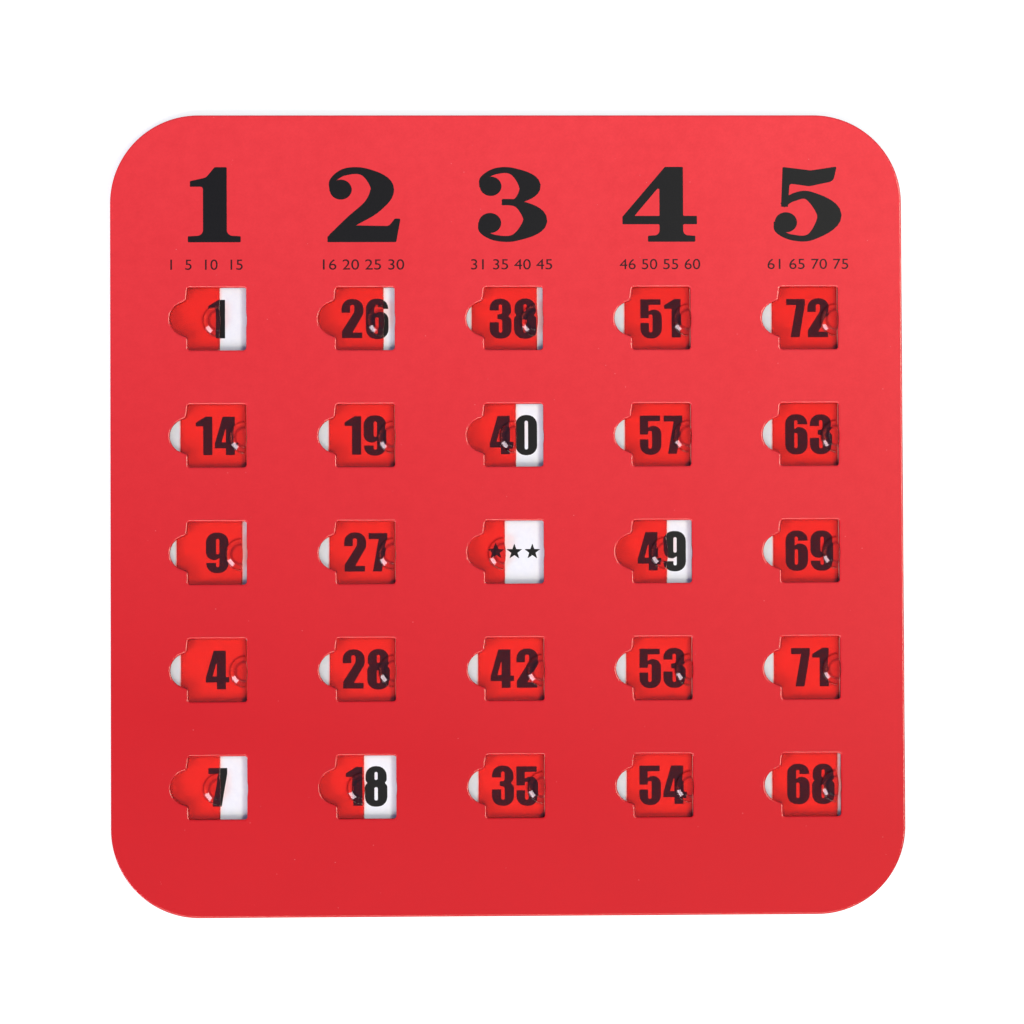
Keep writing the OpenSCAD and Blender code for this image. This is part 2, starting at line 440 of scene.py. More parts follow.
# %% [markdown]
# ## Small range labels
# Under each numeral a small line of type gives the numbers that the column may hold, in
# steps of five. Blender's own typeface is plain enough, so a text object is turned into a
# mesh, and its points are scaled until the line is as tall and as wide as printed.
# %% Range labels
LABEL_FOOT, LABEL_H, WIDEST_SPREAD = 61.3, 2.6, 1.3
LABEL_SPANS = [(-84.0, -66.0), (-46.0, -25.7), (-9.0, 11.3), (28.2, 48.4), (65.3, 85.6)]
LABELS = ["1  5  10  15", "16 20 25 30", "31 35 40 45", "46 50 55 60", "61 65 70 75"]


def type_set(text):
    """Flat points and triangles of a line of type, one unit high, from Blender's typeface."""
    curve = bpy.data.curves.new("type", "FONT")
    curve.body = text
    carrier = bpy.data.objects.new("type", curve)
    bpy.context.scene.collection.objects.link(carrier)
    bpy.context.view_layer.update()
    mesh = bpy.data.meshes.new_from_object(carrier)
    points = np.zeros(len(mesh.vertices) * 3)
    mesh.vertices.foreach_get("co", points)
    points = points.reshape(-1, 3)[:, :2]
    mesh.calc_loop_triangles()
    triangles = np.zeros(len(mesh.loop_triangles) * 3, int)
    mesh.loop_triangles.foreach_get("vertices", triangles)
    bpy.data.objects.remove(carrier)
    bpy.data.curves.remove(curve)
    bpy.data.meshes.remove(mesh)
    low, high = points.min(0), points.max(0)
    return (points - low) / (high[1] - low[1]), triangles.reshape(-1, 3)


parts = []
for text, (left, right) in zip(LABELS, LABEL_SPANS):
    flat, triangles = type_set(text)
    width = flat[:, 0].max() * LABEL_H
    spread = min(WIDEST_SPREAD, (right - left) / width)
    start = (left + right) / 2 - width * spread / 2
    flat = flat * [LABEL_H * spread, LABEL_H] + [start, LABEL_FOOT]
    parts.append(slab(flat, triangles, FACE_TOP - INK_BITE, INK_TOP))
label_ink = make_piece("range_labels", *join_parts(*parts))

# %% [markdown]
# ## Numbers behind the windows
# The numbers are printed on the white sheet at the bottom of the windows, in bold narrow
# digits almost ten millimetres high. A digit this heavy is a block with slots cut into it,
# so each one is a rounded outline, with a rounded hole where it has a closed counter.
# A nine is a six turned half round.
# %% Bold narrow digits
bold = {
    "0": ([(0, -5.05, 2.45), (5.4, -5.05, 2.45), (5.4, 5.05, 2.45), (0, 5.05, 2.45)],
          [[(2.28, -3.6, 0.4), (3.12, -3.6, 0.4), (3.12, 3.6, 0.4), (2.28, 3.6, 0.4)]]),
    "1": ([(1.85, -4.8, 0.1), (4.15, -4.8, 0.1), (4.15, 4.85, 0.1), (2.5, 4.85, 0.2),
           (0, 3.3, 0.2), (0, 2.4, 0.15), (1.85, 2.4, 0.1)], []),
    "2": ([(0, 1.55, 0.1), (2.15, 1.55, 0.1), (2.15, 3.5, 0.45), (3.2, 3.5, 0.45),
           (3.2, 1.75, 1.4), (0.1, -3.1, 0.7), (0.1, -4.8, 0.1), (5.2, -4.8, 0.1),
           (5.2, -3.4, 0.1), (2.75, -3.4, 0.1), (5.5, 1.3, 2.2), (5.5, 5.0, 2.5), (0, 5.0, 2.5)],
          []),
    "3": ([(0, 2.05, 0.1), (2.3, 2.05, 0.1), (2.3, 3.55, 0.38), (3.15, 3.55, 0.38),
           (3.15, 1.2, 0.5), (1.95, 1.05, 0.1), (1.95, -0.05, 0.1), (3.15, -0.3, 0.5),
           (3.15, -3.5, 0.38), (2.3, -3.5, 0.38), (2.3, -0.9, 0.1), (0, -0.9, 0.1),
           (0, -5.0, 2.4), (5.5, -5.0, 2.4), (5.5, -0.1, 1.3), (4.7, 0.62, 0.15),
           (5.4, 1.5, 1.0), (5.4, 5.0, 2.4), (0, 5.0, 2.4)], []),
    "4": ([(0, -3.1, 0.1), (2.75, -3.1, 0.1), (2.75, -4.8, 0.1), (5.0, -4.8, 0.1),
           (5.0, -3.1, 0.1), (5.85, -3.1, 0.1), (5.85, -1.75, 0.1), (5.0, -1.75, 0.1),
           (5.0, 4.8, 0.1), (1.95, 4.8, 0.1), (0, -1.9, 0.2)],
          [[(1.7, -1.6, 0.08), (2.75, -1.6, 0.08), (2.75, 2.1, 0.08)]]),
    "5": ([(0, 0.05, 0.1), (2.1, 0.05, 0.1), (2.1, 0.95, 0.38), (3.05, 0.95, 0.38),
           (3.05, -3.5, 0.4), (2.15, -3.5, 0.4), (2.15, -1.15, 0.1), (0, -1.15, 0.1),
           (0, -5.05, 2.45), (5.4, -5.05, 2.45), (5.4, 2.2, 1.9), (2.9, 2.2, 0.9),
           (2.1, 1.75, 0.1), (2.1, 3.4, 0.1), (5.1, 3.4, 0.1), (5.1, 4.8, 0.1), (0, 4.8, 0.1)],
          []),
    "6": ([(5.6, 2.5, 0.1), (5.6, 5.05, 2.45), (0, 5.05, 2.45), (0, -5.05, 2.45),
           (5.65, -5.05, 2.45), (5.65, 1.8, 2.0), (3.1, 1.8, 0.9), (2.3, 1.25, 0.1),
           (2.3, 3.55, 0.38), (3.12, 3.55, 0.38), (3.12, 2.5, 0.1)],
          [[(2.3, -3.5, 0.4), (3.12, -3.5, 0.4), (3.12, 0.35, 0.38), (2.3, 0.35, 0.38)]]),
    "7": ([(0, 3.3, 0.1), (2.5, 3.3, 0.1), (1.05, -4.8, 0.1), (3.3, -4.8, 0.1),
           (4.7, 3.3, 0.3), (4.7, 4.8, 0.1), (0, 4.8, 0.1)], []),
    "8": ([(0.15, 5.05, 2.4), (0.15, 1.5, 1.1), (0.62, 0.85, 0.15), (0, 0.2, 1.2),
           (0, -5.05, 2.45), (5.6, -5.05, 2.45), (5.6, 0.2, 1.2), (4.98, 0.85, 0.15),
           (5.45, 1.5, 1.1), (5.45, 5.05, 2.4)],
          [[(2.42, 1.6, 0.35), (3.18, 1.6, 0.35), (3.18, 3.6, 0.35), (2.42, 3.6, 0.35)],
           [(2.38, -3.5, 0.38), (3.22, -3.5, 0.38), (3.22, -0.2, 0.38), (2.38, -0.2, 0.38)]]),
}


def digit_shapes(digit):
    """Outer loop, holes and width of a digit. Nine is six with both signs turned."""
    corners, holes = bold["6" if digit == "9" else digit]
    outer, inner = outline(leftward(np.array(corners, float))), [
        outline(leftward(np.array(hole, float))) for hole in holes
    ]
    if digit == "9":
        middle = np.array([outer[:, 0].max(), 0])
        outer, inner = middle - outer, [middle - hole for hole in inner]
    return outer, inner, outer[:, 0].max()


print("digits drawn:", "".join(bold))

# %% [markdown]
# ## Printing the numbers
# The digits of a number stand side by side with a fixed gap, and the number sits in the
# middle of its window. The middle window has three small stars instead of a number.
# %% Print them in the middle of their windows
NUMBERS = [
    ["1", "26", "38", "51", "72"],
    ["14", "19", "40", "57", "63"],
    ["9", "27", "", "49", "69"],
    ["4", "28", "42", "53", "71"],
    ["7", "18", "35", "54", "68"],
]
DIGIT_GAP, BACK_STEP = 0.6, 0.1
NUMBER_LIFT, NUMBER_INK_T = np.array([0, 0.1]), 0.01
STAR_R, STAR_STEP, STAR_DEPTH, STAR_TIP_R = 2.1, 4.5, 0.4, 0.06


def number_shapes(text):
    """The digits of a number side by side, with the number's middle at the origin."""
    shapes, holes, pen = [], [], 0.0
    for digit in text:
        outer, inner, width = digit_shapes(digit)
        shapes.append(outer + [pen, 0])
        holes += [hole + [pen, 0] for hole in inner]
        pen += width + DIGIT_GAP
    back = np.array([(pen - DIGIT_GAP) / 2 + BACK_STEP, 0])
    return [shape - back for shape in shapes], [hole - back for hole in holes]


def star(x):
    """A five-pointed star: ten corners, every second one on a circle STAR_DEPTH times as
    large."""
    turn = np.pi / 2 + np.arange(10) * np.pi / 5
    reach = np.where(np.arange(10) % 2 == 0, STAR_R, STAR_DEPTH * STAR_R)
    points = np.column_stack([x + reach * np.cos(turn), reach * np.sin(turn)])
    return outline(np.column_stack([points, np.full(10, STAR_TIP_R)]), 3)


parts = []
for place, text in zip(windows.reshape(-1, 2), sum(NUMBERS, [])):
    shapes, holes = number_shapes(text)
    if not text:
        shapes = [star(k * STAR_STEP) for k in (-1, 0, 1)]
    middle = place + NUMBER_LIFT
    flat, triangles = fill_flat(placed(shapes, middle), placed(holes, middle))
    parts.append(slab(flat, triangles, paper_top - INK_BITE, paper_top + NUMBER_INK_T))
window_numbers = make_piece("window_numbers", *join_parts(*parts))

# %% [markdown]
# ## The shutters
# A shutter is injection moulded: a thin plate, and near the middle of its right edge a round
# lug with an upright foot, a sloping shoulder, a narrow rim and a shallow dish for the
# fingertip. A large circle cuts the lug off on the right. Seen from the lug's centre the
# whole part is one surface: at each angle a section runs out from the dish over the shoulder
# and down to the plate, on to wherever the plate's edge is at that angle, and back below.
# Its underside lies a hair above the paper, so that the printed ink has room.
# %% Sizes of the lug and the plate, from the middle of the plate's right edge
DISH_STATIONS, RIM_STATIONS, EDGE_STATIONS = 10, 6, 6
LUG_AT = np.array([-0.3, -0.3])
LUG_R, LUG_TOP_R, DISH_R, DISH_DEPTH = 3.85, 2.6, 2.45, 0.14
SIDE_R, SIDE_REACH = 12.0, 0.15
PLATE_W = SHUTTER_W - SIDE_REACH
PLATE_TOP, LUG_TOP, SHOULDER_Z = 2.0, 3.6, 2.87
PLATE_LOW = paper_top + 0.04
PLATE_CORNER, EDGE_ROUND, LOW_ROUND, FOOT = 0.8, 0.16, 0.08, 0.18
RIM_ROUND, RIM_SHIFT = 0.2, np.array([-0.03, -0.01])
SPAN_X = np.array([-PLATE_W, 0]) - LUG_AT[0]
SPAN_Y = np.array([-SHUTTER_H / 2, SHUTTER_H / 2]) - LUG_AT[1]


def fillet(corner, come, go, radius, steps):
    """Arc of a radius that touches the two lines through a corner, in the section's plane:
    the middle corner of a triangle."""
    triangle = [(*(corner - come), 0), (*corner, radius), (*(corner + go), 0)]
    return rounded_outline(triangle, steps)[0][steps:2 * steps]


def lug_top():
    """Radius and height over the top of a full round lug: the dish is an arc of a ball,
    z = top - depth * (1 - (r / dish radius) squared), then come the rounded rim and the
    slope."""
    r = np.linspace(0.25, DISH_R - 0.25, DISH_STATIONS)
    dish = np.column_stack([r, LUG_TOP - DISH_DEPTH * (1 - (r / DISH_R) ** 2)])
    slope = np.array([LUG_R - LUG_TOP_R, SHOULDER_Z - LUG_TOP])
    corner = np.array([LUG_TOP_R, LUG_TOP]) + RIM_SHIFT
    rise = np.array([1, 2 * DISH_DEPTH / DISH_R])
    rim = fillet(corner, rise, slope, RIM_ROUND, RIM_STATIONS)
    rest = np.array([LUG_TOP_R, LUG_TOP]) + slope * np.array([[0.1], [0.35], [0.65], [0.86], [1.0]])
    return np.vstack([dish, rim, rest])


print("stations over the lug's top:", len(lug_top()))

# %% [markdown]
# ## How far the lug and the plate reach
# A ray from the lug's centre meets the lug's side first and the plate's edge later. Both
# distances have a formula, so no point of the surface is placed by hand.
# %% Reach of the lug and of the plate
def lug_reach(angle):
    """How far the lug reaches from its centre: its radius a, or the distance b to the large
    circle, whichever is less. With D between the two centres, b solves
    b^2 + 2 b D cos(angle) + D^2 = SIDE_R^2. The corner between them is rounded by taking
    (a^-p + b^-p)^(-1/p)."""
    apart = SIDE_R - SIDE_REACH + LUG_AT[0]
    lean = apart * np.cos(angle)
    side = np.sqrt(lean**2 + SIDE_R**2 - apart**2) - lean
    return (LUG_R**-60.0 + side**-60.0) ** (-1 / 60)


def plate_reach(angle, inset):
    """How far the plate's outline, pulled in by an inset, lies from the lug's centre: the
    nearest of the four sides, except where the ray meets a corner's arc. On the arc the
    reach r solves |r d - corner centre| = corner radius."""
    cos, sin = np.cos(angle), np.sin(angle)
    across = (np.where(cos > 0, SPAN_X[1], -SPAN_X[0]) - inset) / np.maximum(np.abs(cos), 1e-9)
    along = (np.where(sin > 0, SPAN_Y[1], -SPAN_Y[0]) - inset) / np.maximum(np.abs(sin), 1e-9)
    reach = np.minimum(across, along)
    for right in (-1, 1):
        for up in (-1, 1):
            x = SPAN_X[(right + 1) // 2] - right * PLATE_CORNER
            y = SPAN_Y[(up + 1) // 2] - up * PLATE_CORNER
            lean = cos * x + sin * y
            inside = lean**2 - x**2 - y**2 + (PLATE_CORNER - inset) ** 2
            arc = lean + np.sqrt(np.maximum(inside, 0))
            beyond = ((arc * cos - x) * right > 0) & ((arc * sin - y) * up > 0)
            reach = np.where((inside >= 0) & beyond, arc, reach)
    return reach


print("lug reaches", lug_reach(np.radians([0, 90, 180])).round(2))

# %% [markdown]
# ## One shutter as one surface
# Angle and station are its two parameters. The angles lie close together at the plate's
# corners and on the lug's right side, and the stations where the section bends. Points
# near the lug's upright walls carry a painted shade value that darkens the plastic there.
# %% Angles of the sections
CLOSEST_TURN = np.radians(0.12)


def sweep_angles():
    """Angles at which sections stand, once round: those of points spaced along the plate's
    outline, on its corners, and along the lug's circle and its right side."""
    (left, right), (low, high) = SPAN_X, SPAN_Y
    corners = [(right, low), (right, high), (left, high), (left, low)]
    outline_points = rounded_outline([(*corner, PLATE_CORNER) for corner in corners], 9)[0]
    side_x = np.linspace(left + PLATE_CORNER, right - PLATE_CORNER, 34)
    side_y = np.linspace(low + PLATE_CORNER, high - PLATE_CORNER, 40)
    y = np.linspace(-LUG_R, LUG_R, 34)
    x = np.sqrt(SIDE_R**2 - y**2) - (SIDE_R - SIDE_REACH + LUG_AT[0])
    spots = np.vstack([
        outline_points, np.column_stack([x, y]),
        at_height(side_x, low), at_height(side_x, high),
        at_height(side_y, left)[:, ::-1], at_height(side_y, right)[:, ::-1],
    ])
    angle = np.sort(np.mod(np.arctan2(spots[:, 1], spots[:, 0]), 2 * np.pi))
    return angle[np.concatenate([[True], np.diff(angle) > CLOSEST_TURN])]


print("sections of a shutter:", len(sweep_angles()))

# %% Stations over the lug and down its wall
EDGE_BEND, EXTRA_BEND, CUT_LUG, CUT_SPAN, PROBE = 0.12, 0.10, 3.5, 0.3, 0.02


def lug_stations(lug):
    """Distances from the lug's centre and heights, for the lug's reach at each angle.
    Stations over the top stop short of the side. There a rounded edge turns from the top's
    slope, which falls by an angle a, to straight down: it takes up a width of
    radius * (1 - sin a). The radius is smaller where the lug is cut off."""
    top = lug_top()
    bend = EDGE_BEND + EXTRA_BEND * np.clip((lug - CUT_LUG) / CUT_SPAN, 0, 1)
    higher, lower = np.interp(lug - bend - PROBE, *top.T), np.interp(lug - bend + PROBE, *top.T)
    fall = np.arctan((higher - lower) / (2 * PROBE))
    brow = lug - bend * (1 - np.sin(fall))
    top_r = np.minimum(top[None, :, 0], brow)
    t = fall + (np.pi / 2 - fall) * np.linspace(0, 1, EDGE_STATIONS)
    edge_r = brow + bend * (np.sin(t) - np.sin(fall))
    edge_z = np.interp(brow, *top.T) + bend * (np.cos(t) - np.cos(fall))
    wall_r = np.broadcast_to(lug, (len(lug), 2))
    wall_z = PLATE_TOP + FOOT + (edge_z[:, -1:] - PLATE_TOP - FOOT) * np.array([0.66, 0.33])
    return [top_r, edge_r, wall_r], [np.interp(top_r, *top.T), edge_z, wall_z]


# %% Stations over the plate, round its edge and back below
FLAT_INSET, LAST_INSET, LOW_INSET, GUARD = 0.5, 0.36, 0.3, 0.5


def plate_stations(angle, lug):
    """Distances and heights from the lug's foot on, none of them inside the lug. Quarter
    circles round the foot and both rims of the plate's edge: u is the angle along them."""
    u = np.radians(np.linspace(0, 90, 5))
    outmost = np.maximum(plate_reach(angle, FLAT_INSET), lug)
    foot_r = np.minimum(lug + FOOT * (1 - np.cos(u)), outmost)
    foot_z = np.broadcast_to(PLATE_TOP + FOOT * (1 - np.sin(u)), foot_r.shape)
    inset = np.concatenate([
        [FLAT_INSET, LAST_INSET], EDGE_ROUND * (1 - np.sin(u)), LOW_ROUND * (1 - np.cos(u)),
        [LOW_INSET],
    ])
    far_z = np.concatenate([
        [PLATE_TOP] * 2, PLATE_TOP - EDGE_ROUND * (1 - np.cos(u)),
        PLATE_LOW + LOW_ROUND * (1 - np.sin(u)), [PLATE_LOW],
    ])
    far_r = np.maximum(plate_reach(angle, inset), lug)
    guard_r = np.minimum(lug + GUARD, far_r[:, :1])
    level = np.full_like(lug, PLATE_TOP)
    under_r = far_r[:, -1:] * np.array([0.6, 0.2])
    under_z = np.full_like(under_r, PLATE_LOW)
    return (
        [foot_r, guard_r, (guard_r + far_r[:, :1]) / 2, far_r, under_r],
        [foot_z, level, level, np.broadcast_to(far_z, far_r.shape), under_z],
    )


# %% The surface and its values
def painted_shade_values():
    """Painted shade, 0 to 1, highest near an upright wall, at each station in turn: dish, rim
    and slope, the rounded edge, the wall, the foot, the plate with its edge, the underside."""
    return np.concatenate([
        np.full(DISH_STATIONS - 2, 0.25), [0.35, 0.75], np.full(RIM_STATIONS, 0.85),
        [0.6, 0.3, 0.25, 0.35, 0.7], np.linspace(0.7, 1, EDGE_STATIONS), [1, 1],
        np.linspace(1, 0.7, 5), [0, 0, 0, 0.1], np.full(10, 0.4), [0, 0, 0],
    ])


def shutter_mesh():
    """Points, faces and painted shade values of a closed shutter whose right edge stands at x = 0.
    """
    angle = sweep_angles()[:, None]
    lug = lug_reach(angle)
    (lug_r, lug_z), (plate_r, plate_z) = lug_stations(lug), plate_stations(angle, lug)
    r, z = np.hstack(lug_r + plate_r), np.hstack(lug_z + plate_z)
    turns, stations = r.shape
    grid = np.stack([LUG_AT[0] + r * np.cos(angle), LUG_AT[1] + r * np.sin(angle), z], -1)
    points = grid.transpose(1, 0, 2).reshape(-1, 3)
    poles = [(*LUG_AT, LUG_TOP - DISH_DEPTH), (*LUG_AT, PLATE_LOW)]
    dish_pole, low_pole = len(points), len(points) + 1
    start = (stations - 1) * turns
    pairs = [(a, (a + 1) % turns) for a in range(turns)]
    faces = band_faces(stations, turns)
    faces += [[dish_pole, a, b] for a, b in pairs]
    faces += [[low_pole, start + b, start + a] for a, b in pairs]
    values = np.concatenate([np.repeat(painted_shade_values(), turns), [0, 0]])
    return np.vstack([points, poles]), faces, values


# %% [markdown]
# ## Twenty-five shutters in their places
# One surface serves all shutters. Each copy is moved until its right edge stands where its
# CAD node's does. It rides on that node's body, and takes the node's place in view.
# %% Shutters
shutter_points, shutter_faces, shutter_wall_shade = shutter_mesh()
body_nodes = frame["record"]["behaviour"]["bodies"]
shutters = []
for row in range(ROWS):
    for column in range(COLUMNS):
        node = f"shutter_r{row + 1}c{column + 1}"
        body = next(name for name, nodes in body_nodes.items() if node in nodes)
        right_edge = [node_box(node)[1][0] - SIDE_REACH, windows[row, column][1], 0]
        points = shutter_points + right_edge
        # Each copy carries the painted shade values, which darken its plastic near the walls.
        thing = make_piece(
            f"plastic_{node}", points, shutter_faces, body, crisp=40, near_wall=shutter_wall_shade
        )
        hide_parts(node)
        shutters.append(thing)
print("shutters:", len(shutters))

# %% [markdown]
# ## Writing finishes as expressions
# A procedural finish is arithmetic on a few patterns. A small class wraps a node's output
# and overloads the operators, so that `1 - speck * 0.5` adds the two Math nodes it needs.
# Every other node is made by one method: its type, its settings, and what goes into it.
# %% Values that vary over a surface
def operator(operation):
    """A method that adds the Math node of one operation."""
    return lambda value, other: value.math(operation, other)


class Value:
    """A number or a colour that varies over a surface. Arithmetic on it adds Math nodes."""

    def __init__(self, finish, socket):
        self.finish, self.socket = finish, socket

    def math(self, operation, *others, clamp=False):
        settings = {"operation": operation, "use_clamp": clamp}
        inputs = dict(enumerate([self, *others]))
        return self.finish.add("ShaderNodeMath", settings, inputs)["Value"]

    def __rsub__(self, other):
        settings = {"operation": "SUBTRACT"}
        return self.finish.add("ShaderNodeMath", settings, {0: other, 1: self})["Value"]

    __add__ = __radd__ = operator("ADD")
    __mul__ = __rmul__ = operator("MULTIPLY")
    __sub__ = operator("SUBTRACT")
    __truediv__ = operator("DIVIDE")

    def clamped(self):
        """The number held between 0 and 1."""
        return self.math("MULTIPLY", 1.0, clamp=True)

    def above(self, low, high):
        """0 below low, 1 above high, and a straight ramp between."""
        return ((self - low) / (high - low)).clamped()


# %% Nodes and finishes
class Node:
    """A node in a finish. Square brackets give one of its outputs as a Value."""

    def __init__(self, finish, node):
        self.finish, self.node = finish, node

    def __getitem__(self, output):
        return Value(self.finish, self.node.outputs[output])


class Finish:
    """A material, or the room, under construction."""

    def __init__(self, name, room=False):
        self.made = (bpy.data.worlds if room else bpy.data.materials).new(name)
        self.output = "ShaderNodeOutputWorld" if room else "ShaderNodeOutputMaterial"
        self.made.use_nodes = True
        self.tree = self.made.node_tree
        self.tree.nodes.clear()

    @property
    def place(self):
        """Where a point lies on its object, in metres."""
        return self.add("ShaderNodeTexCoord", {}, {})["Object"]

    def add(self, kind, settings, inputs):
        """Makes a node: settings first, because they decide which sockets it has."""
        node = self.tree.nodes.new(kind)
        for setting, value in settings.items():
            setattr(node, setting, value)
        for socket, value in inputs.items():
            if isinstance(value, Value):
                self.tree.links.new(value.socket, node.inputs[socket])
            else:
                node.inputs[socket].default_value = value
        return Node(self, node)

    def noise(self, size, detail=2.0, stretch=(1, 1, 1), roughness=0.5):
        """Cloudy pattern whose patches are about size millimetres across."""
        mapping = self.add("ShaderNodeMapping", {}, {"Vector": self.place, "Scale": stretch})
        inputs = {
            "Vector": mapping["Vector"], "Scale": 1 / (size * MM), "Detail": detail,
            "Roughness": roughness,
        }
        return self.add("ShaderNodeTexNoise", {}, inputs)["Fac"]

    def cells(self, size):
        """Distance to the nearest of scattered points, about size millimetres apart, in
        units of that size."""
        inputs = {"Vector": self.place, "Scale": 1 / (size * MM)}
        return self.add("ShaderNodeTexVoronoi", {}, inputs)["Distance"]

    def value(self, name):
        """A value that a mesh keeps with its points."""
        return self.add("ShaderNodeAttribute", {"attribute_name": name}, {})["Fac"]

    def mix(self, factor, first, second):
        """A colour between two others."""
        colours = {0: factor, 6: first, 7: second}
        return self.add("ShaderNodeMix", {"data_type": "RGBA"}, colours)[2]

    def bump(self, height, depth):
        """Normals from a height pattern: depth is in millimetres."""
        inputs = {"Height": height, "Distance": depth * MM, "Strength": 1.0}
        return self.add("ShaderNodeBump", {}, inputs)["Normal"]

    def surface(self, **inputs):
        """The shader itself. Underscores in a socket's name stand for spaces."""
        named = {name.replace("_", " "): value for name, value in inputs.items()}
        return self.add("ShaderNodeBsdfPrincipled", {}, named)["BSDF"]

    def done(self, shader):
        """Shows a shader on the surface and gives what was made."""
        self.add(self.output, {}, {"Surface": shader})
        print(self.made.name, "has", len(self.tree.nodes), "nodes")
        return self.made


def colour(red, green, blue):
    """A colour given as it looks on a screen, from 0 to 255, in the linear numbers that a
    shader works in."""
    share = np.array([red, green, blue]) / 255
    linear = np.where(share <= 0.04045, share / 12.92, ((share + 0.055) / 1.055) ** 2.4)
    return (*linear.tolist(), 1.0)


# %% [markdown]
# ## Film over red print
# The face is a solid red under a satin film. Looked at closely it is not even: the ink is
# a touch cloudy and blotchy, the film has a faint grain, and dust has left pale specks. The
# red is also painted lighter and pinker towards the far right edge: painted light and sheen.
# %% Printed film
LIGHT_RAMP_X, LIGHT_RAMP_Y, LIGHT_RAMP_START, LIGHT_RAMP_END = 0.14, 0.86, -0.055, 0.1
SPECK_R, SPECK_BLUR = 0.05, 0.02

film = Finish("printed_film")
cloud = film.noise(26, 2.0)
grain = film.noise(0.55, 3.0, roughness=0.6)
blotch = film.noise(3.5, 4.0, roughness=0.65)
across = film.add("ShaderNodeSeparateXYZ", {}, {"Vector": film.place})
# Painted light and sheen: the red ramps from darker at the near left to lighter and pinker at the
# far right.
painted_light_ramp = (LIGHT_RAMP_X * across["X"] + LIGHT_RAMP_Y * across["Y"]).above(LIGHT_RAMP_START, LIGHT_RAMP_END)
print_and_painted_light = film.mix(painted_light_ramp, colour(217, 2, 9), colour(255, 62, 66))
for pattern, low, high, share, shade in [
    (cloud, 0.3, 0.7, 0.14, colour(232, 12, 18)),
    (blotch, 0.35, 0.7, 0.16, colour(206, 5, 14)),
    (grain, 0.35, 0.75, 0.12, colour(200, 5, 13)),
]:
    print_and_painted_light = film.mix(pattern.above(low, high) * share, print_and_painted_light, shade)
dusty = film.noise(5, 1.0).above(0.55, 0.6)
dust = (SPECK_R - film.cells(2.6)).above(0.0, SPECK_BLUR) * dusty
print_and_painted_light = film.mix(dust * 0.45, print_and_painted_light, colour(255, 170, 170))
film_rough = 0.40 + 0.10 * cloud + 0.06 * grain
film_bump = film.bump(film.noise(1.1, 3.0) + 0.3 * grain, 0.012)
printed_film = film.done(film.surface(
    Base_Color=print_and_painted_light, Roughness=film_rough, Normal=film_bump, Specular_IOR_Level=0.2,
    Coat_Weight=1.0, Coat_Roughness=0.12, Coat_IOR=1.5,
))

# %% [markdown]
# ## Black ink
# The same ink prints the heading under the film and the numbers on the white sheet.
# It is a warm near-black that lets a little paper through where it is thin. The fine
# strokes of the range labels hold less of it, so more of the red print shows through them.
# %% Ink
def ink_finish(name, full, thin):
    """Ink between its colour where it lies full and where it is thin."""
    ink = Finish(name)
    grain = ink.noise(0.35, 3.0, roughness=0.65)
    return ink.done(ink.surface(
        Base_Color=ink.mix(grain.above(0.35, 0.8) * 0.6, full, thin),
        Roughness=0.38 + 0.1 * grain, Normal=ink.bump(grain, 0.004), Specular_IOR_Level=0.3,
    ))


black_ink = ink_finish("black_ink", colour(5, 3, 4), colour(26, 20, 23))
label_ink_finish = ink_finish("label_ink", colour(34, 5, 11), colour(92, 14, 24))

# %% [markdown]
# ## White number sheet and backing paper
# Both are uncoated papers. Paper is cloudy at the scale of a millimetre, where the fibres
# lie thicker and thinner, and single fibres show as short hairs.
# %% Papers
def paper(name, light, dark, roughness, tooth):
    """Paper between two close colours, with fibre clouds and a soft tooth."""
    sheet = Finish(name)
    clouds = sheet.noise(1.6, 4.0, roughness=0.65)
    upright, level = (sheet.noise(0.5, 3.0, stretch=way) for way in [(1, 0.25, 1), (0.25, 1, 1)])
    hairs = (upright + level) * 0.5
    base = sheet.mix(clouds.above(0.3, 0.7), dark, light)
    base = sheet.mix(hairs.above(0.52, 0.66) * 0.35, base, dark)
    return sheet.done(sheet.surface(
        Base_Color=base, Roughness=roughness, Specular_IOR_Level=0.35,
        Normal=sheet.bump(hairs + clouds * 0.5, tooth),
    ))


white_paper = paper("number_paper", colour(249, 248, 252), colour(242, 241, 249), 0.62, 0.01)
lining_paper = paper("lining_paper", colour(238, 234, 226), colour(224, 219, 209), 0.85, 0.04)

# %% [markdown]
# ## Chipboard
# The boards are grey-brown chipboard made from waste paper: fine flecks of lighter and
# darker fibre, and on a cut edge thin layers that run along the board. Stretching a pattern
# along the board and squeezing it across gives the layers.
# %% Board
ALONG_BOARD = (0.12, 0.12, 2.5)

chip = Finish("chipboard")
layers = chip.noise(0.5, 3.0, stretch=ALONG_BOARD)
flecks = chip.noise(0.8, 4.0, roughness=0.7)
chip_colour = chip.mix(layers.above(0.3, 0.7), colour(150, 132, 112), colour(178, 160, 138))
chip_colour = chip.mix(flecks.above(0.58, 0.7) * 0.6, chip_colour, colour(205, 192, 172))
chip_colour = chip.mix((1 - flecks).above(0.6, 0.72) * 0.5, chip_colour, colour(104, 88, 74))
chipboard = chip.done(chip.surface(
    Base_Color=chip_colour, Roughness=0.9, Normal=chip.bump(layers + flecks * 0.6, 0.06),
    Specular_IOR_Level=0.2,
))

# %% [markdown]
# ## Dyed board
# The board under the printed face looks red on its cut edges in the windows, so it is
# finished as board dyed through, with the same layers in a darker and a lighter red.
# %% Dyed board
dyed = Finish("dyed_board")
dyed_layers = dyed.noise(0.5, 3.0, stretch=ALONG_BOARD)
dyed_colour = dyed.mix(dyed_layers.above(0.3, 0.7), colour(122, 26, 34), colour(160, 42, 50))
dyed_board = dyed.done(dyed.surface(
    Base_Color=dyed_colour, Roughness=0.85, Normal=dyed.bump(dyed_layers, 0.05),
    Specular_IOR_Level=0.25,
))
